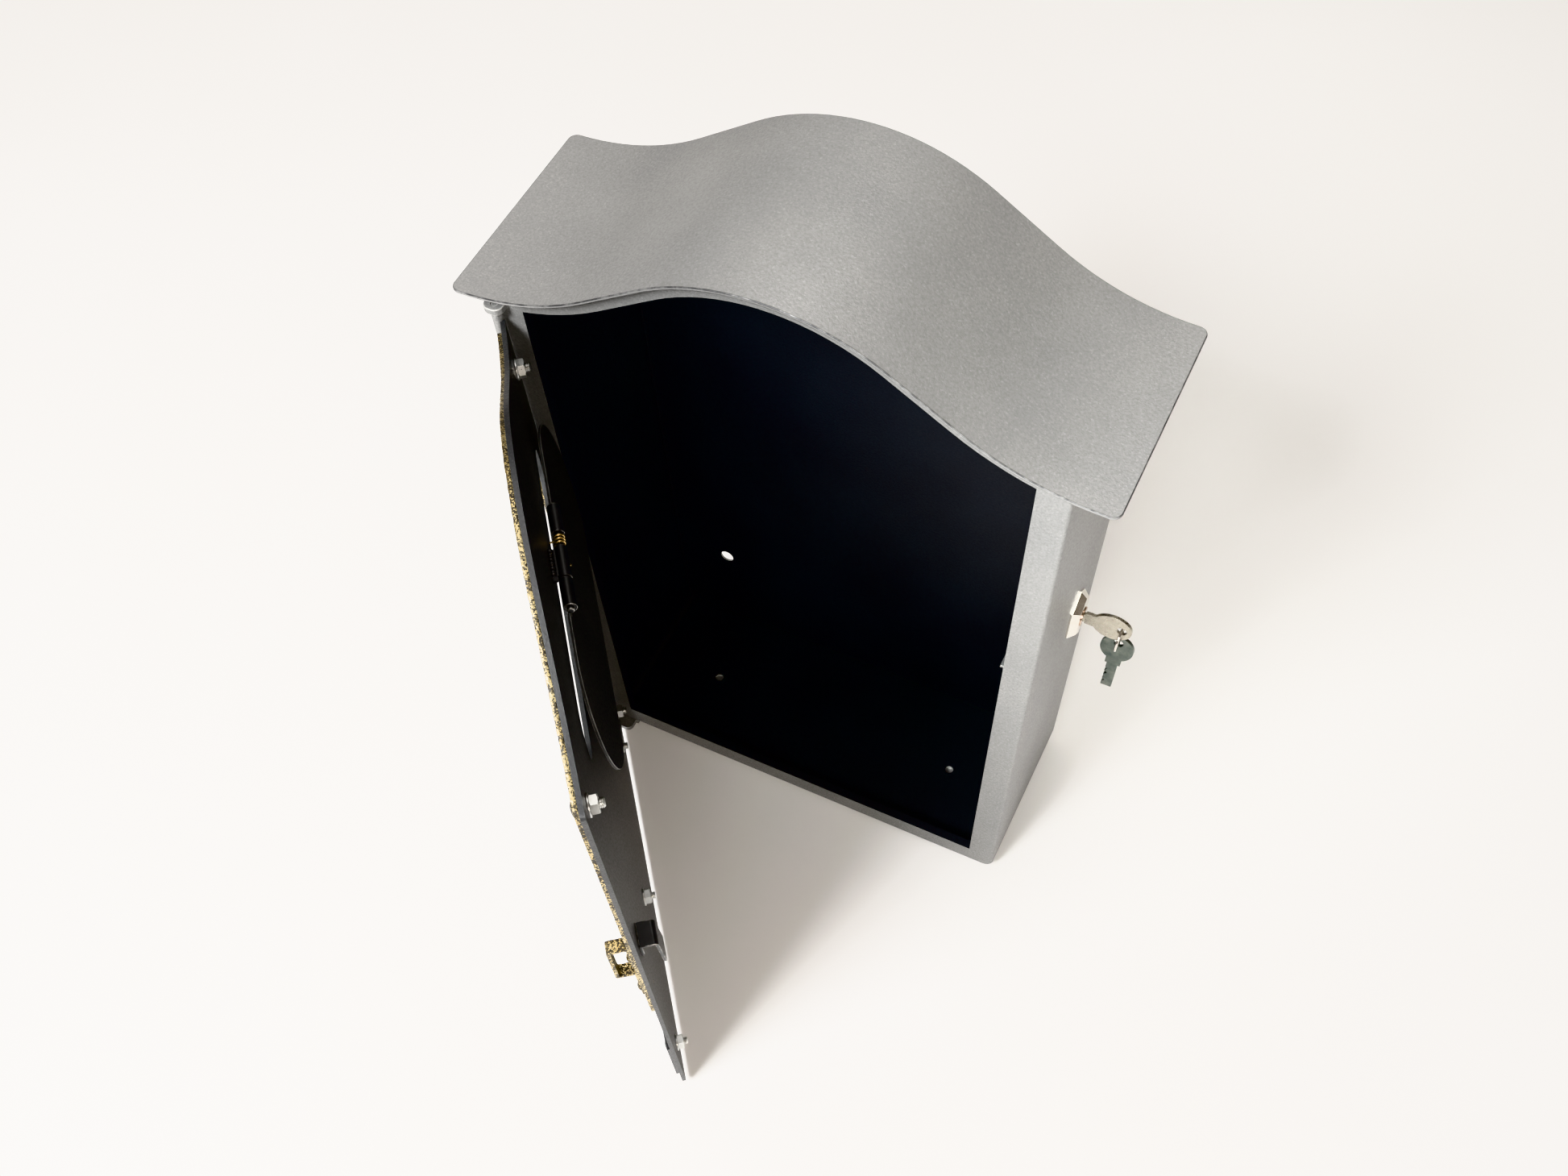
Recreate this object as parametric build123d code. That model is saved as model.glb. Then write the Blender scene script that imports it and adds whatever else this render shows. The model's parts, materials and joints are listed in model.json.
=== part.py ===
from build123d import *
import math
import os

os.makedirs("parts", exist_ok=True)

# Wall mounted mailbox. x runs right as seen from the front, y runs back into the wall, z runs up.
# The origin is the middle of the four wall holes on the outer face of the back panel. Millimetres.

# ---- body ----
body_width = 250.0
body_depth = 98.0
side_height = 335.0          # underside of the roof's flat ends above the bottom of the body
sheet = 1.2                  # body and back panel sheet
bottom_corner_r = 6.0
wall_pitch_x = 184.0
wall_pitch_z = 220.0
wall_hole_r = 4.0
lower_hole_height = 60.0     # lower wall holes above the bottom of the body
hinge_flange = 12.0          # front flange beside the opening, hinge side
lock_flange = 14.5           # front flange beside the opening, lock side
bottom_flange = 13.0
top_flange = 7.0
lip_depth = 5.0              # return lip round the opening
drain_pitch = 156.0
drain_r = 2.5

# ---- roof ----
roof_side_overhang = 19.0
roof_front_overhang = 5.0
roof_back_gap = 1.2          # roof's back edge in front of the wall
roof_sheet_t = 1.5
roof_corner_r = 4.0
crown_rise = 47.6            # top of the hump above the flat ends
crown_r = 100.0              # both radii shrink where the hump is too steep for them
valley_r = 125.0
hump_side = 17.0             # hump's foot outside the body's side

# ---- door ----
door_open_deg = 52.0         # how far the door stands open in the rest pose
door_t = 2.0
door_gap = 0.6               # between the door and the front flange when shut
door_free_margin = 12.0      # free edge inside the right side of the body
door_bottom_gap = 0.5
door_top_drop = 10.0         # top edge of the door below the roof's underside
door_corner_r = 2.5
hinge_inset = 1.0            # hinge axis inside the left side of the body
hinge_forward = 3.0          # hinge axis in front of the front flange
rod_r = 2.5
rod_pin_r = 1.5
running_gap = 0.06           # radial clearance of turning pins
lug_t = 3.0
lug_side = 4.5               # lug outside the hinge axis
upper_lug_side = 4.5         # upper lug inside the hinge axis
lower_lug_side = 12.5        # and the lower one, which also carries the foot
lug_back = 10.0
lug_nose = 4.0               # lug in front of the hinge axis
lug_foot = 14.0              # lower lug's foot under the floor
rod_end_gap = 0.4

# ---- mail slot and its inner flap ----
slot_margin = 28.0           # door left between the hinge axis and the slot
slot_free_margin = 57.0      # and between the slot and the free edge
slot_height = 30.0
slot_drop = 64.0             # slot's centre below the roof's flat ends
flap_overlap = 6.0           # flap beyond each end of the slot
flap_height = 60.0
flap_t = 1.2
flap_gap = 3.2               # flap's front face behind the door's inner face
flap_axis_drop = 32.0        # flap's axis below the roof's flat ends
flap_axis_in = 5.0           # pin axis behind the door's inner face
flap_rest_deg = 7.5          # how far the flap stands off the door in the rest pose
knuckle_r = 2.75
flap_pin_r = 1.5
near_knuckle = 14.0
spring_space = 7.0
door_knuckle_length = 15.0
far_knuckle = 14.0
barrel_offset = 4.0          # middle of the knuckles beyond the middle of the slot
knuckle_gap = 0.4
spring_wire_r = 0.4
spring_r = 2.15
spring_turns = 3.0
spring_leg = 11.0

# ---- front trim, apron plate, handle ----
trim_t = 2.4
band_width = 19.0
band_drop = 2.5              # band's outer edge below the door's top edge
strip_width = 20.0
strip_inset = 13.0           # strip centre line from the door's free edge
strip_inset_hinge = 15.8     # and from the hinge axis
strip_foot_height = 115.0    # strip's lower end above the bottom of the body
apron_t = 2.2
apron_margin = 3.0
apron_bottom_height = 8.0
apron_shoulder_height = 52.0
apron_crown_height = 100.0
trim_bolt_drop = 22.5        # trim bolts below the roof's flat ends
apron_bolt_height = 31.0
apron_upper_bolt_height = 89.0
apron_upper_bolt_pitch = 90.0
handle_top_height = 181.0
handle_grip = 32.0           # over both arms
handle_upper_foot = 22.0     # both feet point down, this one inside the loop
handle_lower_foot = 29.0
handle_gap = 8.6             # between the trim and the grip
handle_t = 2.0
handle_width = 6.5
rivet_end = 5.0              # rivet from the end of its foot
rivet_r = 1.5
rivet_head_r = 2.8
rivet_head_h = 1.4

# ---- M4 fasteners ----
bolt_r = 2.0
bolt_hole_r = 2.15
bolt_head_r = 4.0
bolt_head_h = 2.0
nut_flats = 7.0
nut_h = 3.2
washer_r = 4.5
washer_t = 0.8
bolt_end = 2.2               # bolt beyond its nut

# ---- catch hook on the door ----
hook_inset = 8.5             # from the door's free edge
hook_width = 12.0
hook_above_lock = 9.0        # top of the hook above the lock's axis
hook_drop = 22.0
hook_foot = 10.0
hook_t = 1.5
hook_reach = 7.0             # lip's front face behind the door's inner face
hook_flare = 1.4
hook_bend_r = 2.2

# ---- lock and keys ----
lock_back = 64.0             # lock axis behind the front face
lock_height = 175.0
barrel_r = 8.0
barrel_hole_r = 8.1
barrel_inside = 15.5         # threaded barrel inside the side wall
collar_r = 5.0
collar_out = 5.2             # collar beyond the side wall
plug_r = 3.5
plug_stub_r = 2.5
keyway_w = 1.9
keyway_h = 6.0
keyway_depth = 20.5
plate_long = 36.0
plate_wide = 17.0
plate_side = 20.0            # straight length of the plate's long sides
plate_t = 4.5
plate_base = 1.0
plate_bevel = 3.6
locknut_flats = 21.0
locknut_h = 3.0
cam_t = 2.0
cam_width = 12.0
cam_hub_r = 7.5
cam_behind_door = 4.1        # turned forward, the cam's nose stops this far behind the door's inner face
cam_nose = 13.0
cam_gap = 0.3
cam_nut_flats = 9.0
cam_nut_h = 3.0
key_t = 1.7
key_blade_w = 5.6
key_blade = 19.5
key_neck_w = 8.0
key_bow_long = 20.0
key_bow_wide = 17.0
key_bow_offset = 14.5        # bow centre outside the plug's face
key_hole_r = 2.6
key_hole_at = 5.0            # from the bow centre
key_shoulder_gap = 0.8
ring_r = 6.5
ring_wire_r = 0.7
spare_step = 2.0             # spare key hangs this far behind the first one

half_width = body_width / 2
body_bottom = -wall_pitch_z / 2 - lower_hole_height
flat_z = body_bottom + side_height
roof_width = body_width + 2 * roof_side_overhang
roof_depth = body_depth + roof_front_overhang - roof_back_gap
hump_run = half_width + hump_side            # half width of the hump, from its top to its foot
arc_room = 0.99 * (hump_run**2 + crown_rise**2) / (2 * crown_rise)
crown_arc = crown_r * min(1.0, arc_room / (crown_r + valley_r))
valley_arc = valley_r * min(1.0, arc_room / (crown_r + valley_r))
front_y = -body_depth
hinge_x = -half_width + hinge_inset
hinge_y = front_y - hinge_forward
door_in = front_y - door_gap             # door's inner face, shut
door_out = door_in - door_t
door_free_x = half_width - door_free_margin
door_mid_x = (hinge_x + door_free_x) / 2
slot_length = door_free_x - hinge_x - slot_margin - slot_free_margin
slot_mid_x = hinge_x + slot_margin + slot_length / 2
flap_length = slot_length + 2 * flap_overlap
slot_z = flat_z - slot_drop
lock_y = front_y + lock_back
lock_z = body_bottom + lock_height
hinge_strip_x = hinge_x + strip_inset_hinge
free_strip_x = door_free_x - strip_inset
handle_top = body_bottom + handle_top_height
cam_reach = lock_y - (door_in + cam_behind_door)      # lock axis to the outer face of the cam's nose
wall_x = half_width


# ---- helpers ----
def slab(sketch, y_front, y_back):
    """A flat sketch drawn in x and z, given thickness from y_front back to y_back."""
    return Pos(0, y_back, 0) * extrude(Plane.XZ * sketch, amount=y_back - y_front)


def rect(x0, x1, z0, z1):
    """A rectangle between two x and two z values."""
    return Pos((x0 + x1) / 2, (z0 + z1) / 2) * Rectangle(x1 - x0, z1 - z0)


def under_ogee(drop, half, low):
    """The area below the roof's underside lowered by drop, between -half and half, down to low."""
    total = crown_arc + valley_arc
    straight = math.sqrt(hump_run**2 + (total - crown_rise) ** 2 - total**2)
    slope = math.atan2(hump_run, total - crown_rise) - math.atan2(straight, total)
    crown = crown_arc - drop
    valley = valley_arc + drop
    crown_centre = flat_z + crown_rise - crown_arc
    valley_centre = flat_z + valley_arc
    top = (0.0, crown_centre + crown)
    p1 = (crown * math.sin(slope), crown_centre + crown * math.cos(slope))
    p2 = (hump_run - valley * math.sin(slope), valley_centre - valley * math.cos(slope))
    mid2 = (hump_run - valley * math.sin(slope / 2), valley_centre - valley * math.cos(slope / 2))
    p3 = (hump_run, flat_z - drop)
    p4 = (half, flat_z - drop)
    left = [(-x, z) for x, z in (p1, p2, mid2, p3, p4)]
    edges = [
        ThreePointArc(left[0], top, p1),
        Line(p1, p2),
        ThreePointArc(p2, mid2, p3),
        Line(p3, p4),
        Line(p4, (half, low)),
        Line((half, low), (-half, low)),
        Line((-half, low), left[4]),
        Line(left[4], left[3]),
        ThreePointArc(left[3], left[2], left[1]),
        Line(left[1], left[0]),
    ]
    return make_face(edges)


def below(drop, x0, x1, low):
    """The area below the lowered roof line between two x values, down to low."""
    tall = flat_z + crown_rise + 10
    return under_ogee(drop, roof_width / 2, low - 20) & rect(x0, x1, low, tall)


def rod_x(radius, x0, x1, y, z):
    """A round bar along x."""
    return Pos((x0 + x1) / 2, y, z) * Rot(0, 90, 0) * Cylinder(radius, x1 - x0)


def rod_y(radius, y0, y1, x, z):
    """A round bar along y."""
    return Pos(x, (y0 + y1) / 2, z) * Rot(90, 0, 0) * Cylinder(radius, y1 - y0)


def rod_z(radius, z0, z1, x, y):
    """A round bar along z."""
    return Pos(x, y, (z0 + z1) / 2) * Cylinder(radius, z1 - z0)


def block(x0, x1, y0, y1, z0, z1):
    """A box between two corners."""
    return Pos((x0 + x1) / 2, (y0 + y1) / 2, (z0 + z1) / 2) * Box(x1 - x0, y1 - y0, z1 - z0)


def hexagon(flats):
    """A hexagon by its width across flats."""
    return RegularPolygon(flats / math.sqrt(3), 6)


def opened(shape):
    """Turn a part of the shut door to the rest pose."""
    return shape.rotate(Axis((hinge_x, hinge_y, 0), (0, 0, 1)), -door_open_deg)


def tilted(shape):
    """Turn a part of the shut flap to its rest pose, then turn it with the door."""
    return opened(shape.rotate(Axis((0, flap_y, flap_z), (1, 0, 0)), flap_rest_deg))


def group(shapes):
    """Several separate solids in one node."""
    solids = []
    for shape in shapes:
        solids.extend(shape.solids())
    return Compound(solids)


# ---- body, back panel, roof ----
def opening(grow):
    """The front opening, its edges moved out by grow."""
    return below(
        top_flange - grow,
        -half_width + hinge_flange - grow,
        half_width - lock_flange + grow,
        body_bottom + bottom_flange - grow,
    )


def body_outline(inset):
    """Body seen from the front, moved in by inset at the sides and the bottom."""
    r = bottom_corner_r - inset
    tall = flat_z + crown_rise + 10
    half = half_width - inset
    face = rect(-half, half, body_bottom + inset, tall)
    low = [v for v in face.vertices() if v.Y < body_bottom + inset + 1]
    return fillet(low, r)


def make_body():
    roofed = under_ogee(0, roof_width / 2, body_bottom - 10)
    outer = slab(body_outline(0) & roofed, front_y, 0)
    inner = slab(body_outline(sheet), front_y + sheet, 1)
    lip = slab(opening(sheet) - opening(0), front_y, front_y + lip_depth)
    shell = (outer - inner) + lip - slab(opening(0), front_y - 1, front_y + lip_depth + 1)
    for side in (-1, 1):
        shell -= rod_z(drain_r, body_bottom - 1, body_bottom + sheet + 1, side * drain_pitch / 2, front_y / 2)
    return shell - rod_x(barrel_hole_r, wall_x - 5, wall_x + 1, lock_y, lock_z)


def make_back():
    roofed = under_ogee(0, roof_width / 2, body_bottom - 10)
    panel = slab(body_outline(sheet) & roofed, -sheet, 0)
    for sx in (-1, 1):
        for sz in (-1, 1):
            panel -= rod_y(wall_hole_r, -sheet - 1, 1, sx * wall_pitch_x / 2, sz * wall_pitch_z / 2)
    return panel


def make_roof():
    low = flat_z - 5
    band = under_ogee(-roof_sheet_t, roof_width / 2, low) - under_ogee(0, roof_width / 2 + 1, low - 1)
    y_front = front_y - roof_front_overhang
    roof = slab(band, y_front, y_front + roof_depth)
    corners = roof.edges().filter_by(Axis.Z)
    return fillet(corners, roof_corner_r)


# ---- door hinge ----
def make_lug(z0, inner):
    """A flat tab with the pin's hole, reaching inner beyond the hinge axis towards the opening."""
    plate = block(hinge_x - lug_side, hinge_x + inner, hinge_y - lug_nose, front_y + lug_back, z0, z0 + lug_t)
    nose = plate.edges().filter_by(Axis.Z).sort_by(Axis.Y)[:2]
    plate = fillet(nose, lug_nose - 0.4)
    return plate - rod_z(rod_pin_r + running_gap, z0 - 1, z0 + lug_t + 1, hinge_x, hinge_y)


def make_lower_lug():
    z0 = body_bottom - lug_t
    foot = block(hinge_x, hinge_x + lug_foot, front_y, front_y + lug_back, z0, body_bottom)
    return make_lug(z0, lower_lug_side) + foot


def make_upper_lug():
    """Ends at the front flange, to which it is welded."""
    z0 = flat_z - rod_end_gap - lug_t
    lug = make_lug(z0, upper_lug_side)
    return lug - block(hinge_x - 30, hinge_x + 40, front_y, front_y + 40, z0 - 1, z0 + lug_t + 1)


def make_rod():
    low = body_bottom + rod_end_gap
    high = flat_z - 2 * rod_end_gap - lug_t
    rod = rod_z(rod_r, low, high, hinge_x, hinge_y)
    pin = rod_z(rod_pin_r, body_bottom - lug_t - 1, high + lug_t, hinge_x, hinge_y)
    return rod + pin


# ---- door ----
def door_bolts():
    """x, z and the thickness of what each door bolt clamps in front of the door."""
    places = []
    for x in (hinge_strip_x, free_strip_x):
        places.append((x, flat_z - trim_bolt_drop, trim_t))
    for x in (hinge_strip_x, free_strip_x):
        places.append((x, body_bottom + apron_bolt_height, apron_t))
    for sx in (-1, 1):
        x = door_mid_x + sx * apron_upper_bolt_pitch / 2
        places.append((x, body_bottom + apron_upper_bolt_height, apron_t))
    return places


def rivet_places():
    upper = handle_top - handle_upper_foot + rivet_end
    lower = handle_top - handle_grip + handle_t - handle_lower_foot + rivet_end
    return [(free_strip_x, upper), (free_strip_x, lower)]


def stadium(length, height, x, z):
    return Pos(x, z) * SlotOverall(length, height)


def make_door():
    low = body_bottom + door_bottom_gap
    face = below(door_top_drop, hinge_x + rod_pin_r, door_free_x, low)
    panel = slab(face, door_out, door_in)
    free = [e for e in panel.edges().filter_by(Axis.Y) if e.center().X > door_free_x - 0.1]
    panel = fillet(free, door_corner_r)
    panel -= slab(stadium(slot_length, slot_height, slot_mid_x, slot_z), door_out - 1, door_in + 1)
    panel -= rod_z(rod_r, body_bottom - 5, flat_z + 60, hinge_x, hinge_y)
    for x, z, _ in door_bolts():
        panel -= rod_y(bolt_hole_r, door_out - 1, door_in + 1, x, z)
    for x, z in rivet_places():
        panel -= rod_y(rivet_r, door_out - 1, door_in + 1, x, z)
    return panel


def make_trim():
    """Arched band with a leg down each side, one flat piece."""
    x0, x1 = hinge_strip_x - strip_width / 2, free_strip_x + strip_width / 2
    low = body_bottom + strip_foot_height
    drop = door_top_drop + band_drop
    face = below(drop, x0, x1, low)
    face -= below(drop + band_width, x0 + strip_width, x1 - strip_width, low - 1)
    frame = slab(face, door_out - trim_t, door_out)
    for x, z, _ in door_bolts()[:2]:
        frame -= rod_y(bolt_hole_r, door_out - 9, door_out + 1, x, z)
    for x, z in rivet_places():
        frame -= rod_y(rivet_r, door_out - 9, door_out + 1, x, z)
    return frame


def make_apron():
    x0, x1 = hinge_x + apron_margin, door_free_x - apron_margin
    low = body_bottom + apron_bottom_height
    shoulder = body_bottom + apron_shoulder_height
    crown = body_bottom + apron_crown_height
    face = make_face([
        Line((x0, low), (x1, low)),
        Line((x1, low), (x1, shoulder)),
        ThreePointArc((x1, shoulder), (door_mid_x, crown), (x0, shoulder)),
        Line((x0, shoulder), (x0, low)),
    ])
    plate = slab(face, door_out - apron_t, door_out)
    for x, z, _ in door_bolts()[2:]:
        plate -= rod_y(bolt_hole_r, door_out - 9, door_out + 1, x, z)
    return plate


def make_bolt(x, z, clamped):
    seat = door_out - clamped
    shank = rod_y(bolt_r, seat, door_in + washer_t + nut_h + bolt_end, x, z)
    ball_r = (bolt_head_r**2 + bolt_head_h**2) / (2 * bolt_head_h)
    ball = Pos(x, seat - bolt_head_h + ball_r, z) * Sphere(ball_r)
    head = ball & block(x - 9, x + 9, seat - 9, seat, z - 9, z + 9)
    return shank + head


def make_nut(x, z):
    seat = door_in + washer_t
    nut = slab(Pos(x, z) * hexagon(nut_flats), seat, seat + nut_h)
    return nut - rod_y(bolt_r, seat - 1, seat + nut_h + 1, x, z)


def make_washer(x, z):
    ring = rod_y(washer_r, door_in, door_in + washer_t, x, z)
    return ring - rod_y(bolt_r, door_in - 1, door_in + washer_t + 1, x, z)


def make_handle():
    """Flat strap: upper foot, arm out, grip down, arm back in, lower foot down."""
    seat = door_out - trim_t
    t = handle_t
    out = seat - handle_gap - t
    x0, x1 = free_strip_x - handle_width / 2, free_strip_x + handle_width / 2
    upper, lower = handle_top, handle_top - handle_grip
    strap = block(x0, x1, out, seat, upper - t, upper) + block(x0, x1, out, seat, lower, lower + t)
    strap += block(x0, x1, out, out + t, lower, upper)
    strap += block(x0, x1, seat - t, seat, upper - handle_upper_foot, upper)
    strap += block(x0, x1, seat - t, seat, lower + t - handle_lower_foot, lower + t)
    bends = [e for e in strap.edges().filter_by(Axis.X) if abs(e.center().Y - out) < 0.01]
    bends += [e for e in strap.edges().filter_by(Axis.X)
              if abs(e.center().Y - seat) < 0.01 and abs(e.center().Z - upper) < 0.01]
    strap = fillet(bends, t * 0.8)
    for rx, rz in rivet_places():
        strap -= rod_y(rivet_r, seat - t - 1, seat + 1, rx, rz)
    return strap


def make_rivet(x, z):
    seat = door_out - trim_t - handle_t
    shank = rod_y(rivet_r, seat, door_in, x, z)
    ball_r = (rivet_head_r**2 + rivet_head_h**2) / (2 * rivet_head_h)
    outside = Pos(x, seat - rivet_head_h + ball_r, z) * Sphere(ball_r)
    outside &= block(x - 9, x + 9, seat - 9, seat, z - 9, z + 9)
    return shank + outside


def make_hook():
    """Bent strap: foot down the door, shelf inwards, lip down with its end flared away from the door."""
    top = lock_z + hook_above_lock
    lip = door_in + hook_reach
    line = Polyline(
        (door_in, top), (lip + hook_t, top), (lip + hook_t + hook_flare, top - hook_drop),
        (lip + hook_flare, top - hook_drop), (lip, top - hook_t), (door_in + hook_t, top - hook_t),
        (door_in + hook_t, top - hook_foot), (door_in, top - hook_foot), close=True)
    x1 = door_free_x - hook_inset
    hook = Pos(x1 - hook_width, 0, 0) * extrude(Plane.YZ * make_face(line), amount=hook_width)
    bend = [e for e in hook.edges().filter_by(Axis.X) if abs(e.center().Y - lip - hook_t) < 0.01
            and abs(e.center().Z - top) < 0.01]
    return fillet(bend, hook_bend_r)


# ---- flap and its barrel hinge ----
barrel_length = near_knuckle + spring_space + door_knuckle_length + far_knuckle
barrel_x0 = slot_mid_x + barrel_offset - barrel_length / 2
spring_x0 = barrel_x0 + near_knuckle
middle_x0 = spring_x0 + spring_space
far_x0 = middle_x0 + door_knuckle_length
flap_y = door_in + flap_axis_in
flap_z = flat_z - flap_axis_drop


def make_flap():
    y0 = door_in + flap_gap
    face = stadium(flap_length, flap_height, slot_mid_x, flap_z - flap_height / 2)
    plate = slab(face, y0, y0 + flap_t)
    plate -= rod_x(knuckle_r, barrel_x0 - 2, far_x0 + far_knuckle + 2, flap_y, flap_z)
    notch = knuckle_r + 1.4
    return plate - block(spring_x0 - 0.2, far_x0 + knuckle_gap, y0 - 1, y0 + flap_t + 1, flap_z - notch, flap_z + 9)


def make_flap_knuckles():
    bore = flap_pin_r + running_gap
    near = rod_x(knuckle_r, barrel_x0, spring_x0, flap_y, flap_z)
    far = rod_x(knuckle_r, far_x0 + knuckle_gap, far_x0 + far_knuckle, flap_y, flap_z)
    hole = rod_x(bore, barrel_x0 - 1, far_x0 + far_knuckle + 1, flap_y, flap_z)
    return group([near - hole, far - hole])


def make_door_knuckle():
    tube = rod_x(knuckle_r, middle_x0, far_x0, flap_y, flap_z)
    return tube - rod_x(flap_pin_r, middle_x0 - 1, far_x0 + 1, flap_y, flap_z)


def make_weld():
    """Rough bead that holds the middle knuckle on the door."""
    bead = block(middle_x0 + 1, far_x0 - 1, door_in, door_in + 3.0, flap_z - 1.6, flap_z + 1.6)
    for i in range(6):
        x = middle_x0 + 2.2 + i * (door_knuckle_length - 4.4) / 5
        for side in (-1, 1):
            bead += Pos(x, door_in + 0.7, flap_z + side * (1.9 + 0.3 * (i % 2))) * Sphere(1.45)
    bead -= block(middle_x0 - 9, far_x0 + 9, door_in - 9, door_in, flap_z - 9, flap_z + 9)
    return bead - rod_x(knuckle_r, middle_x0 - 1, far_x0 + 1, flap_y, flap_z)


def make_flap_pin():
    pin = rod_x(flap_pin_r, barrel_x0 - 1.5, far_x0 + far_knuckle + 1.5, flap_y, flap_z)
    ends = [e for e in pin.edges().filter_by(GeomType.CIRCLE)]
    return chamfer(ends, 0.3)


def make_spring():
    """Torsion coil round the pin, one leg towards the door, one leg down the flap."""
    length = spring_space - 2.2
    path = Helix(pitch=length / spring_turns, height=length, radius=spring_r)
    profile = Plane(origin=path @ 0, z_dir=path % 0) * Circle(spring_wire_r)
    coil = sweep(profile, path=path, is_frenet=True)
    x0 = spring_x0 + 1.1
    coil = Pos(x0, flap_y, flap_z) * Rot(0, 90, 0) * coil
    low = flap_z - spring_r
    coil += rod_y(spring_wire_r, flap_y - flap_axis_in + 0.7, flap_y, x0, low)
    coil += rod_z(spring_wire_r, low - spring_leg, low, x0 + length, flap_y)
    return coil


# ---- lock ----
def long_hexagon(length, width, side):
    """Hexagon drawn out along its second direction, pointed at both ends."""
    a, b, c = width / 2, side / 2, length / 2
    return make_face(Polyline((-a, -b), (0, -c), (a, -b), (a, b), (0, c), (-a, b), close=True))


def make_lock_plate():
    base = Plane(origin=(wall_x, lock_y, lock_z), x_dir=(0, 1, 0), z_dir=(1, 0, 0))
    face = Plane(origin=(wall_x + plate_t, lock_y, lock_z), x_dir=(0, 1, 0), z_dir=(1, 0, 0))
    mid = Plane(origin=(wall_x + plate_base, lock_y, lock_z), x_dir=(0, 1, 0), z_dir=(1, 0, 0))
    wide = long_hexagon(plate_long, plate_wide, plate_side)
    small = long_hexagon(plate_long - 2 * plate_bevel, plate_wide - 1.4 * plate_bevel, plate_side - plate_bevel)
    plate = extrude(base * wide, amount=plate_base) + loft([mid * wide, face * small])
    return plate - rod_x(collar_r, wall_x - 1, wall_x + 20, lock_y, lock_z)


def make_barrel():
    inner_end = wall_x - sheet - barrel_inside
    barrel = rod_x(barrel_r, inner_end, wall_x, lock_y, lock_z)
    barrel += rod_x(collar_r, wall_x, wall_x + collar_out, lock_y, lock_z)
    return barrel - rod_x(plug_r + running_gap, inner_end - 1, wall_x + collar_out + 1, lock_y, lock_z)


cam_x1 = wall_x - sheet - barrel_inside - cam_gap
cam_x0 = cam_x1 - cam_t
plug_face = wall_x + collar_out


def make_plug():
    plug = rod_x(plug_r, cam_x1, plug_face, lock_y, lock_z)
    plug += rod_x(plug_stub_r, cam_x0 - cam_nut_h - 1, cam_x1, lock_y, lock_z)
    way = block(plug_face - keyway_depth, plug_face + 1, lock_y - keyway_w / 2, lock_y + keyway_w / 2,
                lock_z - keyway_h / 2, lock_z + keyway_h / 2)
    return plug - way


def make_locknut():
    plane = Plane(origin=(wall_x - sheet - locknut_h, lock_y, lock_z), x_dir=(0, 1, 0), z_dir=(1, 0, 0))
    nut = extrude(plane * hexagon(locknut_flats), amount=locknut_h)
    return nut - rod_x(barrel_r, wall_x - 30, wall_x + 1, lock_y, lock_z)


def make_cam():
    """Flat arm hanging from the plug, its end folded over to catch behind the door's hook."""
    y0, y1 = lock_y - cam_width / 2, lock_y + cam_width / 2
    low = lock_z - cam_reach
    cam = rod_x(cam_hub_r, cam_x0, cam_x1, lock_y, lock_z) + block(cam_x0, cam_x1, y0, y1, low, lock_z)
    cam += block(cam_x1 - cam_nose, cam_x1, y0, y1, low, low + cam_t)
    return cam - rod_x(plug_stub_r, cam_x0 - 1, cam_x1 + 1, lock_y, lock_z)


def make_cam_nut():
    plane = Plane(origin=(cam_x0 - cam_nut_h, lock_y, lock_z), x_dir=(0, 1, 0), z_dir=(1, 0, 0))
    nut = extrude(plane * hexagon(cam_nut_flats), amount=cam_nut_h)
    return nut - rod_x(plug_stub_r, cam_x0 - 9, cam_x0 + 1, lock_y, lock_z)


def key_blank():
    """A key along x with the plug's face at x = 0, flat in x and z, tip towards minus x."""
    bow = Pos(key_bow_offset, 0) * Ellipse(key_bow_long / 2, key_bow_wide / 2)
    neck = rect(key_shoulder_gap, key_bow_offset - 4, -key_neck_w / 2, key_neck_w / 2)
    blade = rect(-key_blade, 1.5, -key_blade_w / 2, key_blade_w / 2)
    for x, depth in ((-15.5, 1.4), (-12.0, 0.8), (-8.5, 1.8), (-5.0, 1.1)):
        cut = Polyline((x - 1.8, key_blade_w / 2 + 0.1), (x, key_blade_w / 2 - depth),
                       (x + 1.8, key_blade_w / 2 + 0.1), close=True)
        blade -= make_face(cut)
    outline = bow + neck + blade - Pos(key_bow_offset + key_hole_at, 0) * Circle(key_hole_r)
    return slab(outline, -key_t / 2, key_t / 2)


hole_x = plug_face + key_bow_offset + key_hole_at


def make_key():
    return Pos(plug_face, lock_y, lock_z) * key_blank()


def make_ring():
    return Pos(hole_x, lock_y, lock_z - ring_r) * Rot(0, 90, 0) * Torus(ring_r, ring_wire_r)


def make_spare():
    hung = Rot(0, -90, 0) * Pos(-key_bow_offset - key_hole_at, 0, 0) * key_blank()
    return Pos(hole_x, lock_y + spare_step, lock_z - 2 * ring_r) * hung


def save(shape, name):
    export_step(shape, "parts/" + name + ".step")


bolts = door_bolts()

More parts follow.
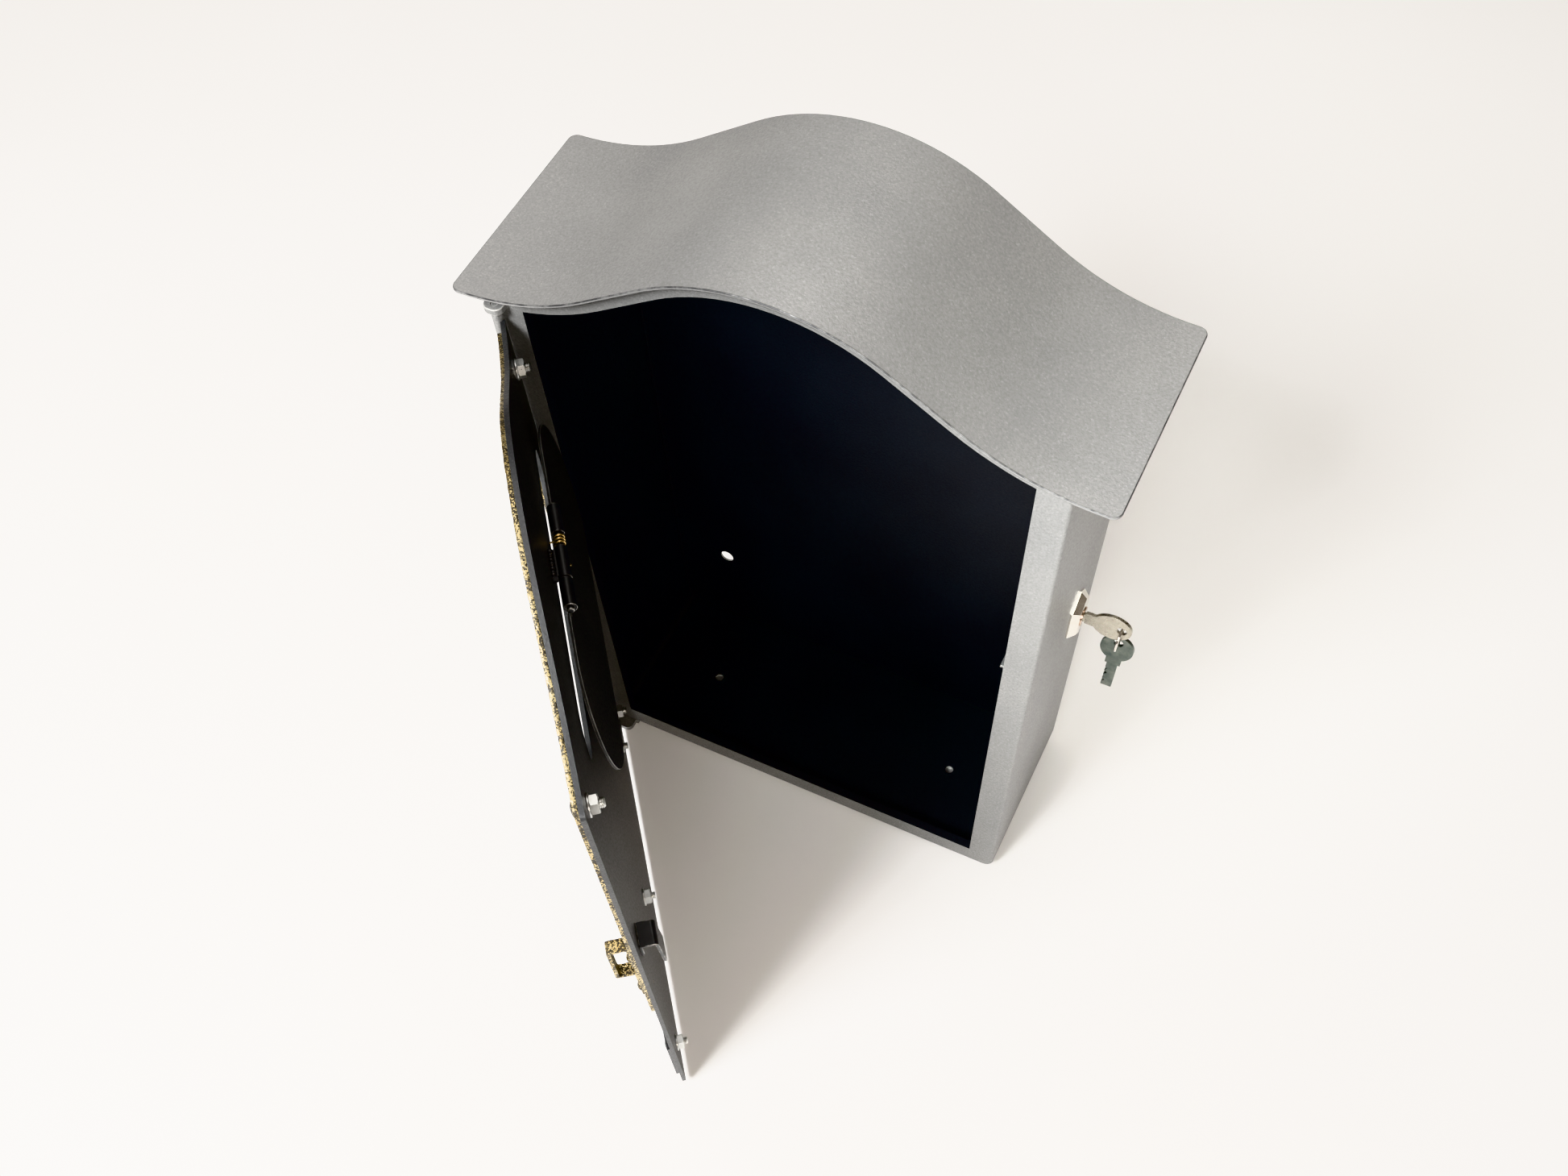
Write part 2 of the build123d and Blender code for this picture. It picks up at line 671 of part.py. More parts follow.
save(make_body(), "body_shell")
save(make_back(), "back_panel")
save(make_roof(), "roof_sheet")
save(make_lower_lug(), "hinge_lug_lower")
save(make_upper_lug(), "hinge_lug_upper")
save(opened(make_rod()), "hinge_rod")
save(opened(make_door()), "door_panel")
save(opened(make_trim()), "trim_frame")
save(opened(make_apron()), "apron_plate")
save(opened(group([make_bolt(x, z, t) for x, z, t in bolts[:2]])), "trim_bolts")
save(opened(group([make_bolt(x, z, t) for x, z, t in bolts[2:]])), "apron_bolts")
save(opened(group([make_nut(x, z) for x, z, t in bolts])), "door_nuts")
save(opened(group([make_washer(x, z) for x, z, t in bolts])), "door_washers")
save(opened(make_handle()), "pull_handle")
save(opened(group([make_rivet(x, z) for x, z in rivet_places()])), "handle_rivets")
save(opened(make_hook()), "catch_hook")
save(tilted(make_flap()), "flap_plate")
save(tilted(make_flap_knuckles()), "flap_knuckles")
save(opened(make_door_knuckle()), "door_knuckle")
save(opened(make_weld()), "knuckle_weld")
save(opened(make_flap_pin()), "flap_pin")
save(tilted(make_spring()), "flap_spring")
save(make_lock_plate(), "lock_plate")
save(make_barrel(), "lock_barrel")
save(make_plug(), "lock_plug")
save(make_locknut(), "lock_nut")
save(make_cam(), "lock_cam")
save(make_cam_nut(), "cam_nut")
save(make_key(), "key")
save(make_ring(), "key_ring")
save(make_spare(), "spare_key")
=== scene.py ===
import json
import math

import bmesh
import bpy
from mathutils import Euler, Matrix, Vector, noise

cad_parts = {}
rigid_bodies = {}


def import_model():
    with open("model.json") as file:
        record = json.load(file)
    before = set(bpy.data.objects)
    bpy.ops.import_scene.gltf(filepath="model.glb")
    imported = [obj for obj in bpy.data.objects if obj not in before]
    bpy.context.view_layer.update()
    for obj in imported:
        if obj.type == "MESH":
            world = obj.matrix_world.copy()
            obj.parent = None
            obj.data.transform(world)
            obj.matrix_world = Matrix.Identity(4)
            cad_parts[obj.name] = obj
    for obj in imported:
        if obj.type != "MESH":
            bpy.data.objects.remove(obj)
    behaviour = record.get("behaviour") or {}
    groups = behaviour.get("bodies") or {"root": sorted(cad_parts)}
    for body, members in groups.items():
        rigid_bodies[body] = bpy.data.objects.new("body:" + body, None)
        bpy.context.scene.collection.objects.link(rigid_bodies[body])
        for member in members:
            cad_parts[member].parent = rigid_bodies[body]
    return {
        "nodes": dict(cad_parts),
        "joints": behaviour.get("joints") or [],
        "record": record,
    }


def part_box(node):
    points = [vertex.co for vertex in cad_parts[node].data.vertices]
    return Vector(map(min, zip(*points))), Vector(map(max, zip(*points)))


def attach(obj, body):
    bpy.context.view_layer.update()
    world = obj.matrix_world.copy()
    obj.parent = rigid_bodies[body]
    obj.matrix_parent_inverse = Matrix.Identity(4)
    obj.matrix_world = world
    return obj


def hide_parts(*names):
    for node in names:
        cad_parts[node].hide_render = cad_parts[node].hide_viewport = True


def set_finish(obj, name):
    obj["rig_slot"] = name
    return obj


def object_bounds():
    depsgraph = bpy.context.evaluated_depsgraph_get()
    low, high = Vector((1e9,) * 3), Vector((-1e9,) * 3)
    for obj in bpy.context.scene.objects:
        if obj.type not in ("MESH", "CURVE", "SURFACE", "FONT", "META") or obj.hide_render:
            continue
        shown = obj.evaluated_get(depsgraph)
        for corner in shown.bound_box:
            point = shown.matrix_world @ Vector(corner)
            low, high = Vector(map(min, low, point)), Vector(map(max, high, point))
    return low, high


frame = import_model()
cad_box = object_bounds()
nodes = frame["nodes"]
joints = {j["name"]: j for j in frame["joints"]}
slots = {s["node"]: s["material_slot"] for s in frame["record"]["subparts"]}
body_of = {node: body for body, members in frame["record"]["behaviour"]["bodies"].items() for node in members}
MM = 0.001
noise.seed_set(1)        # without a seed the noise vectors start from the clock

# The door rests open. Its own frame is the shut door: x along it, y through it, z up.
hinge = Vector(joints["door_hinge"]["pos_m"])
open_angle = math.radians(joints["door_hinge"]["range_deg"][1])
SHUT = Matrix.Translation(hinge) @ Matrix.Rotation(open_angle, 4, "Z") @ Matrix.Translation(-hinge)
OPEN = SHUT.inverted()

# Edges and folds, in millimetres and degrees.
SAME_POINT = 0.002       # the CAD mesh's doubled corners lie closer than this
FLAT_ENOUGH = 0.6        # facets that differ by less are one face
SHARP_EDGE = 28.0        # edges sharper than this are rounded
FOLD_ANGLE = 34.4        # folds of the sheet are sharper than this
FOLD_RADIUS = 1.8
SHEET = 1.3              # wall thickness of the body
TOUCHING = 0.05          # points nearer to a face than this lie on it
CORNER = 6.3             # the lower corners of the body are rounded within this
UNDER_ROOF = 40.0        # the folds with the wide radius stop this far below the roof's top
FACE_WEIGHT = 80         # how far large faces rule the shading of their corners

# Bolts and nuts of the door, M4, in millimetres.
COUNT = 40               # points round a bolt
HEAD_R, HEAD_H = 4.0, 2.0
HEAD_RINGS = 10
SHANK_R, TIP_R = 2.0, 1.5
THIN = 0.02              # steps too small to see, which keep neighbouring rings apart
THREAD_PITCH, THREAD_DEPTH, THREAD_LENGTH, THREAD_TIP = 0.7, 0.36, 6.2, 0.45
RINGS_PER_PITCH = 7
NUT_FLATS, NUT_BORE_R, NUT_SINK_R, NUT_SINK = 7.0, 2.0, 2.35, 0.3
NUT_COUNT = 60           # points round a nut
NUT_CHAMFER = 0.96       # the round flat of the nut, as a share of its half width


# ---------------------------------------------------------------- mesh helpers
def new_object(name, bm, node):
    """An object from bm that stands for the CAD node, rides with it and keeps its finish."""
    mesh = bpy.data.meshes.new(name)
    bm.to_mesh(mesh)
    bm.free()
    obj = bpy.data.objects.new(name, mesh)
    bpy.context.scene.collection.objects.link(obj)
    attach(obj, body_of[node])
    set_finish(obj, slots[node])
    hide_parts(node)
    return obj


def node_bmesh(node, transform=None):
    bm = bmesh.new()
    bm.from_mesh(nodes[node].data)
    bmesh.ops.remove_doubles(bm, verts=bm.verts, dist=SAME_POINT * MM)
    if transform is not None:
        bm.transform(transform)
    return bm


def smooth(bm):
    for face in bm.faces:
        face.smooth = True


def islands(bm):
    """Lowest and highest corner of each separate solid in bm, in a fixed order."""
    left, found = set(bm.verts), []
    while left:
        stack = [left.pop()]
        group = [stack[0]]
        while stack:
            for e in stack.pop().link_edges:
                for v in e.verts:
                    if v in left:
                        left.remove(v)
                        stack.append(v)
                        group.append(v)
        lo = Vector([min(v.co[i] for v in group) for i in range(3)])
        hi = Vector([max(v.co[i] for v in group) for i in range(3)])
        found.append((lo, hi))
    return sorted(found, key=lambda box: tuple(box[0]))


def edges_over(bm, degrees):
    return [e for e in bm.edges if len(e.link_faces) == 2 and e.calc_face_angle(0) > math.radians(degrees)]


def rounded(bm, edges, radius, segments):
    return bmesh.ops.bevel(bm, geom=edges, offset=radius * MM, offset_type="OFFSET", segments=segments,
                           profile=0.5, affect="EDGES", clamp_overlap=True)


def softened(node, width, is_fold=None):
    """The CAD node with its sharp edges rounded by width millimetres, as folded and painted sheet has them.

    Folds of the sheet get a wider radius first. The loop attribute edge marks the rounded faces for the paint.
    """
    bm = node_bmesh(node)
    bmesh.ops.dissolve_limit(bm, angle_limit=math.radians(FLAT_ENOUGH), verts=bm.verts, edges=bm.edges)
    if is_fold:
        rounded(bm, [e for e in edges_over(bm, FOLD_ANGLE) if is_fold(e)], FOLD_RADIUS, 6)
    out = rounded(bm, edges_over(bm, SHARP_EDGE), width, 2)
    # The rounded faces take the edge tone: rubbed wear, and on the roof a dark painted shade.
    edge_wear_and_shade = bm.loops.layers.float.new("edge")
    for face in out["faces"]:
        for loop in face.loops:
            loop[edge_wear_and_shade] = 1.0
    smooth(bm)
    weighted = new_object(node + "_fine", bm, node).modifiers.new("normals", "WEIGHTED_NORMAL")
    weighted.keep_sharp = False
    weighted.weight = FACE_WEIGHT


def remeshed(bm, voxel):
    """A dense even skin over bm, for beaten surfaces."""
    mesh = bpy.data.meshes.new("skin")
    bm.to_mesh(mesh)
    bm.free()
    obj = bpy.data.objects.new("skin", mesh)
    bpy.context.scene.collection.objects.link(obj)
    skin = obj.modifiers.new("skin", "REMESH")
    skin.mode = "VOXEL"
    skin.voxel_size = voxel
    evaluated = obj.evaluated_get(bpy.context.evaluated_depsgraph_get())
    dense = bpy.data.meshes.new_from_object(evaluated)
    bpy.data.objects.remove(obj)
    out = bmesh.new()
    out.from_mesh(dense)
    return out


def hammered(point, cell, shift):
    """Height of a beaten surface at a point, 0 in the dents to 1 on the ridges between them."""
    wander, ridge_width, ridge_share, lump_size = 0.45, 0.55, 0.55, 2.6
    q = point / (cell * MM) + shift
    q += noise.noise_vector(q * 0.6) * wander
    near, _ = noise.voronoi(q, distance_metric="DISTANCE_SQUARED")
    gap = math.sqrt(near[1]) - math.sqrt(near[0])
    ridge = max(0.0, 1.0 - gap / ridge_width)
    lump = 0.5 + 0.5 * noise.noise(point / (cell * lump_size * MM) + shift)
    return min(1.0, ridge_share * ridge * ridge + (1.0 - ridge_share) * lump)


def beaten(node, voxel, cell, depth, seed):
    """The node as beaten metal: shallow hammer dents between low ridges, sunk into its surface."""
    bm = remeshed(node_bmesh(node, SHUT), voxel * MM)
    bmesh.ops.smooth_vert(bm, verts=bm.verts, factor=0.5, use_axis_x=True, use_axis_y=True, use_axis_z=True)
    bm.normal_update()
    high = bm.verts.layers.float.new("high")
    shift = Vector((seed, seed * 1.7, -seed))
    for v in bm.verts:
        v[high] = hammered(v.co, cell, shift)
    for v in bm.verts:
        v.co = v.co - v.normal * depth * MM * (1.0 - v[high])
    smooth(bm)
    bm.transform(OPEN)
    new_object(node + "_beaten", bm, node)


def skin_rings(bm, loops, closed, to_world):
    """Faces between rings of points. Each ring is a list of local points."""
    rows = [[bm.verts.new(to_world @ Vector(p)) for p in ring] for ring in loops]
    count = len(rows[0])
    last = len(rows) if closed else len(rows) - 1
    for i in range(last):
        a, b = rows[i], rows[(i + 1) % len(rows)]
        for j in range(count):
            k = (j + 1) % count
            bm.faces.new((a[j], a[k], b[k], b[j]))
    if not closed:
        bm.faces.new(list(reversed(rows[0])))
        bm.faces.new(rows[-1])


def angles(count):
    return [2 * math.pi * j / count for j in range(count)]


def circle(r, y, count, groove=None):
    """A ring about the y axis. A groove takes its depth at each angle and height off the radius."""
    pts = []
    for a in angles(count):
        rr = r - groove(a, y) if groove else r
        pts.append((rr * math.cos(a), y, rr * math.sin(a)))
    return pts


def thread(a, y):
    """Depth of the screw thread below the shank at angle a and height y."""
    part = (y / (THREAD_PITCH * MM) - a / (2 * math.pi)) % 1.0
    return THREAD_DEPTH * MM * (1.0 - abs(2.0 * part - 1.0))


def head_ring(t, top, seed):
    """One ring of a hand-beaten dome, t from 0 at its tip to a quarter turn at its rim."""
    r, y = HEAD_R * MM * math.sin(t), top + HEAD_H * MM * (1 - math.cos(t) * 0.98)
    ring = []
    for a in angles(COUNT):
        p = Vector((math.cos(a) * r, y, math.sin(a) * r))
        dent = 0.5 + 0.5 * noise.noise(p * 420 + seed)
        ring.append(tuple(p - Vector((p.x, 0, p.z)) * 0.035 * dent + Vector((0, 0.12 * MM * dent, 0))))
    return ring


def bolts(node, seed):
    """Dome headed bolts: beaten head in front, shank, and a threaded end behind the door."""
    bm = bmesh.new()
    for n, (lo, hi) in enumerate(islands(node_bmesh(node, SHUT))):
        dome = [k / HEAD_RINGS * math.pi / 2 for k in range(1, HEAD_RINGS + 1)]
        loops = [head_ring(t, lo.y, Vector((n * 3.1, seed, 0.0))) for t in dome]
        under_head = lo.y + (HEAD_H + THIN) * MM
        start, end = hi.y - THREAD_LENGTH * MM, hi.y - THREAD_TIP * MM
        loops.append(circle(HEAD_R * MM * 0.96, under_head, COUNT))
        loops.append(circle(SHANK_R * MM, under_head, COUNT))
        loops.append(circle(SHANK_R * MM, start, COUNT))
        steps = int((end - start) / (THREAD_PITCH * MM / RINGS_PER_PITCH))
        for k in range(steps + 1):
            loops.append(circle(SHANK_R * MM, start + (end - start) * k / steps, COUNT, thread))
        loops.append(circle(TIP_R * MM, hi.y - THIN * MM, COUNT))
        skin_rings(bm, loops, False, OPEN @ Matrix.Translation(((lo.x + hi.x) / 2, 0, (lo.z + hi.z) / 2)))
    bmesh.ops.recalc_face_normals(bm, faces=bm.faces)
    smooth(bm)
    new_object(node + "_fine", bm, node)


def hexagon(flat, y, inward):
    """Outline of a nut at height y, its corners cut back inward (1 or -1) by the chamfer."""
    pts = []
    for a in angles(NUT_COUNT):
        r = flat / math.cos(a % (math.pi / 3) - math.pi / 6)
        drop = max(0.0, r - flat * NUT_CHAMFER) * 0.55
        pts.append((r * math.cos(a), y + inward * drop, r * math.sin(a)))
    return pts


def nuts(node):
    """Hexagon nuts with chamfered corners on both faces and a countersunk bore."""
    flat, bore, mouth, sink = NUT_FLATS * MM / 2, NUT_BORE_R * MM, NUT_SINK_R * MM, NUT_SINK * MM
    bm = bmesh.new()
    for lo, hi in islands(node_bmesh(node, SHUT)):
        loops = [circle(bore, lo.y + sink, NUT_COUNT), circle(mouth, lo.y, NUT_COUNT),
                 circle(flat * NUT_CHAMFER, lo.y, NUT_COUNT), hexagon(flat, lo.y, 1),
                 hexagon(flat, hi.y, -1), circle(flat * NUT_CHAMFER, hi.y, NUT_COUNT),
                 circle(mouth, hi.y, NUT_COUNT), circle(bore, hi.y - sink, NUT_COUNT)]
        skin_rings(bm, loops, True, OPEN @ Matrix.Translation(((lo.x + hi.x) / 2, 0, (lo.z + hi.z) / 2)))
    bmesh.ops.recalc_face_normals(bm, faces=bm.faces)
    new_object(node + "_fine", bm, node)


# ---------------------------------------------------------------- material helpers
def material(name):
    mat = bpy.data.materials.new(name)
    mat.use_nodes = True
    return mat, mat.node_tree, mat.node_tree.nodes["Principled BSDF"]


def texture(tree, kind, **inputs):
    """A texture node laid in the object's own coordinates."""
    tex = tree.nodes.new(kind)
    for key, value in inputs.items():
        tex.inputs[key].default_value = value
    coord = tree.nodes.new("ShaderNodeTexCoord")
    tree.links.new(coord.outputs["Object"], tex.inputs["Vector"])
    return tex


def clouds(tree, scale, detail=3.0, rough=0.55):
    return texture(tree, "ShaderNodeTexNoise", Scale=scale, Detail=detail, Roughness=rough).outputs["Fac"]


def speckle(tree, scale):
    """A random value for each small cell."""
    grey = tree.nodes.new("ShaderNodeSeparateColor")
    tree.links.new(texture(tree, "ShaderNodeTexVoronoi", Scale=scale).outputs["Color"], grey.inputs["Color"])
    return grey.outputs["Red"]


def attribute(tree, name):
    node = tree.nodes.new("ShaderNodeAttribute")
    node.attribute_name = name
    return node.outputs["Fac"]


def remap(tree, source, from_min, from_max, to_min, to_max):
    node = tree.nodes.new("ShaderNodeMapRange")
    for key, value in (("From Min", from_min), ("From Max", from_max), ("To Min", to_min), ("To Max", to_max)):
        node.inputs[key].default_value = value
    tree.links.new(source, node.inputs["Value"])
    return node.outputs["Result"]


def calc(tree, op, a, b):
    """Two values joined by a Math node. Sums and products are held between 0 and 1."""
    node = tree.nodes.new("ShaderNodeMath")
    node.operation = op
    node.use_clamp = op != "SUBTRACT"
    for place, value in enumerate((a, b)):
        if isinstance(value, float):
            node.inputs[place].default_value = value
        else:
            tree.links.new(value, node.inputs[place])
    return node.outputs["Value"]


def mixed(tree, factor, a, b):
    node = tree.nodes.new("ShaderNodeMix")
    node.data_type = "RGBA"
    tree.links.new(factor, node.inputs["Factor"])
    for key, value in (("A", a), ("B", b)):
        sock = [s for s in node.inputs if s.name == key and s.type == "RGBA"][0]
        if isinstance(value, tuple):
            sock.default_value = (*value, 1.0)
        else:
            tree.links.new(value, sock)
    return [s for s in node.outputs if s.type == "RGBA"][0]


def bump(tree, shader, height, strength, distance, before=None):
    node = tree.nodes.new("ShaderNodeBump")
    node.inputs["Strength"].default_value = strength
    node.inputs["Distance"].default_value = distance
    tree.links.new(height, node.inputs["Height"])
    if before is not None:
        tree.links.new(before, node.inputs["Normal"])
    tree.links.new(node.outputs["Normal"], shader.inputs["Normal"])
    return node.outputs["Normal"]


# ---------------------------------------------------------------- materials
def powder_coat(name, dark, light, edge_wear_and_shade, rough=(0.34, 0.5), metal=0.35, peel=0.35):
    """Fine textured powder coat with metal flake: mottled, pimpled, and of the edge tone on the rounded edges,
    which is lighter rubbed wear on most parts and a dark painted shade on the roof.
    """
    mat, t, s = material(name)
    s.inputs["Metallic"].default_value = metal
    s.inputs["Specular IOR Level"].default_value = 0.5
    grain = clouds(t, 950, 3, 0.6)
    tone = mixed(t, remap(t, clouds(t, 14, 4), 0.35, 0.65, 0, 1), dark, light)
    tone = mixed(t, remap(t, grain, 0.42, 0.62, 0, 0.30), tone, tuple(x * 0.55 for x in dark))
    tone = mixed(t, remap(t, speckle(t, 1500), 0.86, 1.0, 0, 0.12), tone, tuple(2.5 * x for x in light))
    # Patches of the edge tone on the rounded edges: rubbed wear, on the roof a dark painted shade.
    edge_patches = calc(t, "MULTIPLY", attribute(t, "edge"), remap(t, clouds(t, 240, 3), 0.3, 0.55, 0.35, 1))
    t.links.new(mixed(t, edge_patches, tone, edge_wear_and_shade), s.inputs["Base Color"])
    t.links.new(remap(t, grain, 0.3, 0.7, *rough), s.inputs["Roughness"])
    pimples = bump(t, s, clouds(t, 800, 2, 0.5), peel, 0.30 * MM)
    bump(t, s, clouds(t, 1900, 2, 0.5), peel, 0.12 * MM, pimples)
    return mat


def beaten_brass(name, patina, brass, bright):
    """Brass rubbed bright on the high spots over a black patina."""
    mat, t, s = material(name)
    fine, broad = clouds(t, 1500, 4, 0.6), clouds(t, 90, 3)
    mask = calc(t, "ADD", calc(t, "MULTIPLY", attribute(t, "high"), 0.45), calc(t, "MULTIPLY", broad, 0.3))
    mask = calc(t, "SUBTRACT", calc(t, "ADD", mask, remap(t, fine, 0.3, 0.7, 0, 0.7)), 0.35)
    mask = remap(t, mask, 0.38, 0.53, 0, 1)
    metal = mixed(t, remap(t, broad, 0.35, 0.65, 0, 1), brass, bright)
    t.links.new(mixed(t, mask, patina, metal), s.inputs["Base Color"])
    t.links.new(remap(t, mask, 0, 1, 0.35, 1.0), s.inputs["Metallic"])
    t.links.new(remap(t, mask, 0, 1, 0.52, 0.26), s.inputs["Roughness"])
    bump(t, s, fine, 0.45, 0.22 * MM)
    return mat


def black_paint(name, black, bare):
    """Satin black over steel, slightly dusty, rubbed through here and there on the edges."""
    mat, t, s = material(name)
    grain = clouds(t, 1200, 3)
    dusty = tuple(x * 2.0 + 0.004 for x in black)
    tone = mixed(t, remap(t, clouds(t, 60, 4), 0.3, 0.7, 0, 1), black, dusty)
    edge_patches = calc(t, "MULTIPLY", attribute(t, "edge"), remap(t, clouds(t, 300, 4), 0.42, 0.6, 0, 1))
    t.links.new(mixed(t, edge_patches, tone, bare), s.inputs["Base Color"])
    t.links.new(remap(t, edge_patches, 0, 1, 0.15, 0.9), s.inputs["Metallic"])
    t.links.new(remap(t, grain, 0.3, 0.7, 0.30, 0.46), s.inputs["Roughness"])
    bump(t, s, grain, 0.35, 0.10 * MM)
    return mat


def plated(name, tone, stain, rough, scratch=0.25, depth=0.03):
    """Plated metal: cloudy plate with fine scratches, depth in millimetres."""
    mat, t, s = material(name)
    s.inputs["Metallic"].default_value = 1.0
    lines = clouds(t, 900, 4, 0.7)
    cloudy = remap(t, clouds(t, 160, 5, 0.6), 0.35, 0.75, 0, 0.8)
    t.links.new(mixed(t, cloudy, tone, stain), s.inputs["Base Color"])
    t.links.new(remap(t, lines, 0.3, 0.7, *rough), s.inputs["Roughness"])
    bump(t, s, lines, scratch, depth * MM)
    return mat


PAINT = powder_coat("graphite_powder", (0.185, 0.187, 0.185), (0.225, 0.225, 0.22), (0.42, 0.42, 0.40), peel=0.75)
# The roof: the body's graphite made lighter as painted light from above, its rounded edges dark as painted shade.
ROOF_PAINTED_LIGHT_AND_SHADE = powder_coat("graphite_roof", (0.225, 0.225, 0.222), (0.265, 0.263, 0.257), (0.035, 0.035, 0.036))
# The inner faces of the box: the graphite made near black and bluish as painted shade inside.
INSIDE_PAINTED_SHADE = powder_coat("graphite_inside", (0.004, 0.0045, 0.007), (0.006, 0.0075, 0.011), (0.10, 0.10, 0.10),
                     (0.42, 0.55), 0.1)
# The door's inner face, its edges and the flap: the graphite made darker as painted shade.
DOOR_PAINTED_SHADE = powder_coat("graphite_door", (0.030, 0.031, 0.033), (0.045, 0.046, 0.047), (0.30, 0.30, 0.29),
                   (0.36, 0.5), 0.3)
STEEL = plated("zinc_thread", (0.66, 0.66, 0.64), (0.42, 0.41, 0.38), (0.24, 0.42))
BRASS = beaten_brass("brass_over_patina", (0.030, 0.024, 0.015), (0.60, 0.46, 0.21), (0.80, 0.66, 0.36))
BLACK = black_paint("satin_black", (0.010, 0.0105, 0.012), (0.45, 0.44, 0.42))
ZINC = plated("zinc_plate", (0.70, 0.71, 0.70), (0.50, 0.49, 0.45), (0.26, 0.44))
NICKEL = plated("bright_nickel", (0.86, 0.83, 0.77), (0.70, 0.64, 0.55), (0.10, 0.24), 0.15)
KEY = plated("worn_key", (0.46, 0.43, 0.36), (0.30, 0.28, 0.23), (0.20, 0.38), 0.3, 0.05)
SPARE = plated("dull_key", (0.075, 0.095, 0.085), (0.22, 0.23, 0.20), (0.24, 0.42), 0.3, 0.05)
COLLAR = plated("warm_nickel", (0.62, 0.47, 0.37), (0.42, 0.30, 0.22), (0.12, 0.26), 0.15)
SPRING = plated("yellow_plated_wire", (0.72, 0.52, 0.24), (0.45, 0.30, 0.14), (0.22, 0.38))
BY_SLOT = {"graphite_paint": PAINT, "aged_brass": BRASS, "black_paint": BLACK, "zinc": ZINC,
           "nickel": NICKEL, "spring_wire": SPRING}

# ---------------------------------------------------------------- pieces
wall_lo, wall_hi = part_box("body_shell")


def front_fold(edge):
    """Folds between the front flange and the side walls, the lower corners and the floor."""
    for p in (v.co for v in edge.verts):
        from_side, from_floor = min(p.x - wall_lo.x, wall_hi.x - p.x), p.z - wall_lo.z
        on_corner = from_side < CORNER * MM and from_floor < CORNER * MM
        on_rim = from_side < TOUCHING * MM or from_floor < TOUCHING * MM or on_corner
        if abs(p.y - wall_lo.y) > TOUCHING * MM or not on_rim or p.z > wall_hi.z - UNDER_ROOF * MM:
            return False
    return True


ROUNDING = {"roof_sheet": 0.45, "back_panel": 0.3, "door_panel": 0.5, "flap_plate": 0.35, "catch_hook": 0.3,
            "apron_plate": 0.5, "lock_plate": 0.45, "hinge_lug_lower": 0.4, "hinge_lug_upper": 0.4, "key": 0.22,
            "spare_key": 0.22, "door_washers": 0.15, "lock_cam": 0.25, "lock_plug": 0.2, "hinge_rod": 0.3,
            "door_knuckle": 0.25, "flap_knuckles": 0.25, "flap_pin": 0.3, "lock_barrel": 0.25, "lock_nut": 0.3,
            "cam_nut": 0.3}

softened("body_shell", 0.38, front_fold)
for name, width in ROUNDING.items():
    softened(name, width)
beaten("trim_frame", voxel=0.7, cell=2.6, depth=0.32, seed=3.0)
beaten("pull_handle", voxel=0.4, cell=2.2, depth=0.26, seed=11.0)
beaten("handle_rivets", voxel=0.3, cell=2.0, depth=0.10, seed=7.0)
bolts("trim_bolts", seed=1.0)
bolts("apron_bolts", seed=5.0)
nuts("door_nuts")

# The roof takes its lit and shaded copy of the graphite, the door and flap their darker copy: painted light and
# shade.
OWN_FINISH = {"roof_sheet_fine": ROOF_PAINTED_LIGHT_AND_SHADE, "door_panel_fine": DOOR_PAINTED_SHADE, "flap_plate_fine": DOOR_PAINTED_SHADE, "key_fine": KEY,
              "spare_key_fine": SPARE, "lock_barrel_fine": COLLAR}
for obj in list(bpy.context.scene.objects):
    if obj.type == "MESH":
        kind = obj.get("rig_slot") or slots.get(obj.name)
        obj.data.materials.clear()
        obj.data.materials.append(OWN_FINISH.get(obj.name, BY_SLOT[kind]))


def second(name, mat, test):
    """Give the faces of a piece that pass the test another material."""
    mesh = bpy.data.objects[name].data
    mesh.materials.append(mat)
    for face in mesh.polygons:
        if test(face.center, face.normal):
            face.material_index = 1


def inside_walls(c, n):
    wall = SHEET * MM * 0.9
    return wall_lo.x + wall < c.x < wall_hi.x - wall and c.y > wall_lo.y + wall and c.z > wall_lo.z + wall


outward = OPEN.to_3x3() @ Vector((0, -1, 0))
# Faces inside the body and the back panel's inner face take the near-black painted shade inside the box.
second("body_shell_fine", INSIDE_PAINTED_SHADE, inside_walls)
second("back_panel_fine", INSIDE_PAINTED_SHADE, lambda c, n: n.y < -0.5)
# The door's outer face keeps the body paint; its other faces keep the darker painted shade.
second("door_panel_fine", PAINT, lambda c, n: n.dot(outward) > 0.9)
for name in ("trim_bolts_fine", "apron_bolts_fine"):
    head_y = min((SHUT @ v.co).y for v in bpy.data.objects[name].data.vertices)
    second(name, STEEL, lambda c, n: (SHUT @ c).y > head_y + (HEAD_H + 0.3) * MM)

